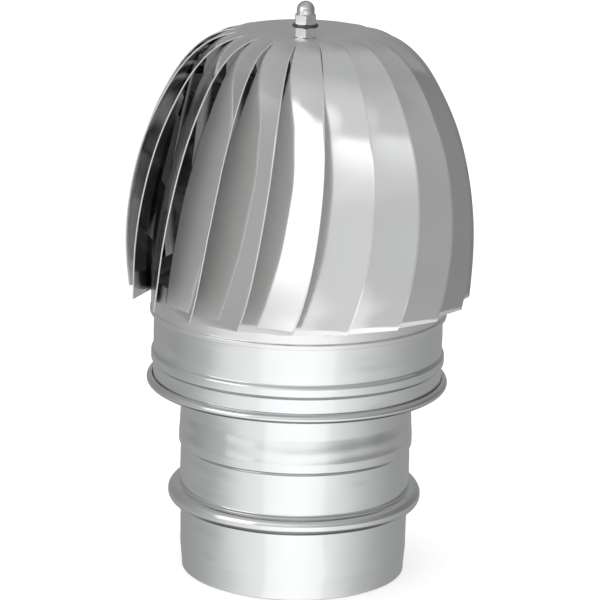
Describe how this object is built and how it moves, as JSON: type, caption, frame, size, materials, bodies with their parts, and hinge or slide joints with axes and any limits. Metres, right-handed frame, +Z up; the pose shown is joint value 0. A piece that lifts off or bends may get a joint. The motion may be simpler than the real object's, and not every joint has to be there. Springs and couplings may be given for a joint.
{
  "type": "rotating chimney cowl",
  "caption": "Wind-driven chimney cowl: a louvred sheet-steel dome turns on a spindle in ball bearings over a fixed collar with a beaded spigot that plugs into the flue.",
  "frame": {"origin": "on the spindle axis at the lower edge of the spigot", "axes": "+Z up along the spindle, -Y towards the front of the picture"},
  "size_m": [0.2252, 0.2252, 0.3765],
  "materials": {
    "dome_sheet": "bright annealed stainless sheet, close to a mirror",
    "neck_sheet": "bright annealed stainless sheet with faint rolling lines",
    "bracket_steel": "mill-finish stainless strip",
    "fastener_steel": "plain stainless fasteners",
    "bearing_steel": "ground and polished bearing steel",
    "spring_steel": "dark phosphated spring steel",
    "cage_polymer": "moulded black polymer"
  },
  "bodies": {
    "neck": {"spigot_pipe": "neck_sheet", "base_plate": "neck_sheet", "collar_shell": "neck_sheet", "lower_spider": "bracket_steel", "upper_spider": "bracket_steel", "lower_bearing_cup": "bracket_steel", "upper_bearing_cup": "bracket_steel", "lower_outer_ring": "bearing_steel", "upper_outer_ring": "bearing_steel", "lower_circlip": "spring_steel", "upper_circlip": "spring_steel"},
    "head": {"rotor_crown": "dome_sheet", "rotor_blades": "dome_sheet", "rotor_ring": "dome_sheet", "spindle": "fastener_steel", "crown_nut": "fastener_steel", "top_washer": "spring_steel", "acorn_nut": "fastener_steel", "crown_under_washer": "fastener_steel", "crown_under_nut": "fastener_steel", "upper_inner_ring": "bearing_steel", "lower_inner_ring": "bearing_steel", "shoulder_nut": "fastener_steel", "shoulder_washer": "fastener_steel", "retaining_nut": "fastener_steel", "retaining_washer": "fastener_steel"},
    "upper_ball_set": {"upper_balls": "bearing_steel", "upper_cage": "cage_polymer"},
    "lower_ball_set": {"lower_balls": "bearing_steel", "lower_cage": "cage_polymer"}
  },
  "joints": [
    {"name": "head_spin", "type": "hinge", "parent": "neck", "child": "head", "pos_m": [0, 0, 0.1355], "axis": [0, 0, 1], "continuous": true},
    {"name": "upper_ball_orbit", "type": "hinge", "parent": "neck", "child": "upper_ball_set", "pos_m": [0, 0, 0.1745], "axis": [0, 0, 1], "continuous": true},
    {"name": "lower_ball_orbit", "type": "hinge", "parent": "neck", "child": "lower_ball_set", "pos_m": [0, 0, 0.0965], "axis": [0, 0, 1], "continuous": true}
  ],
  "couplings": [
    {"joint": "upper_ball_orbit", "follows": "head_spin", "ratio": 0.3677},
    {"joint": "lower_ball_orbit", "follows": "head_spin", "ratio": 0.3677}
  ]
}
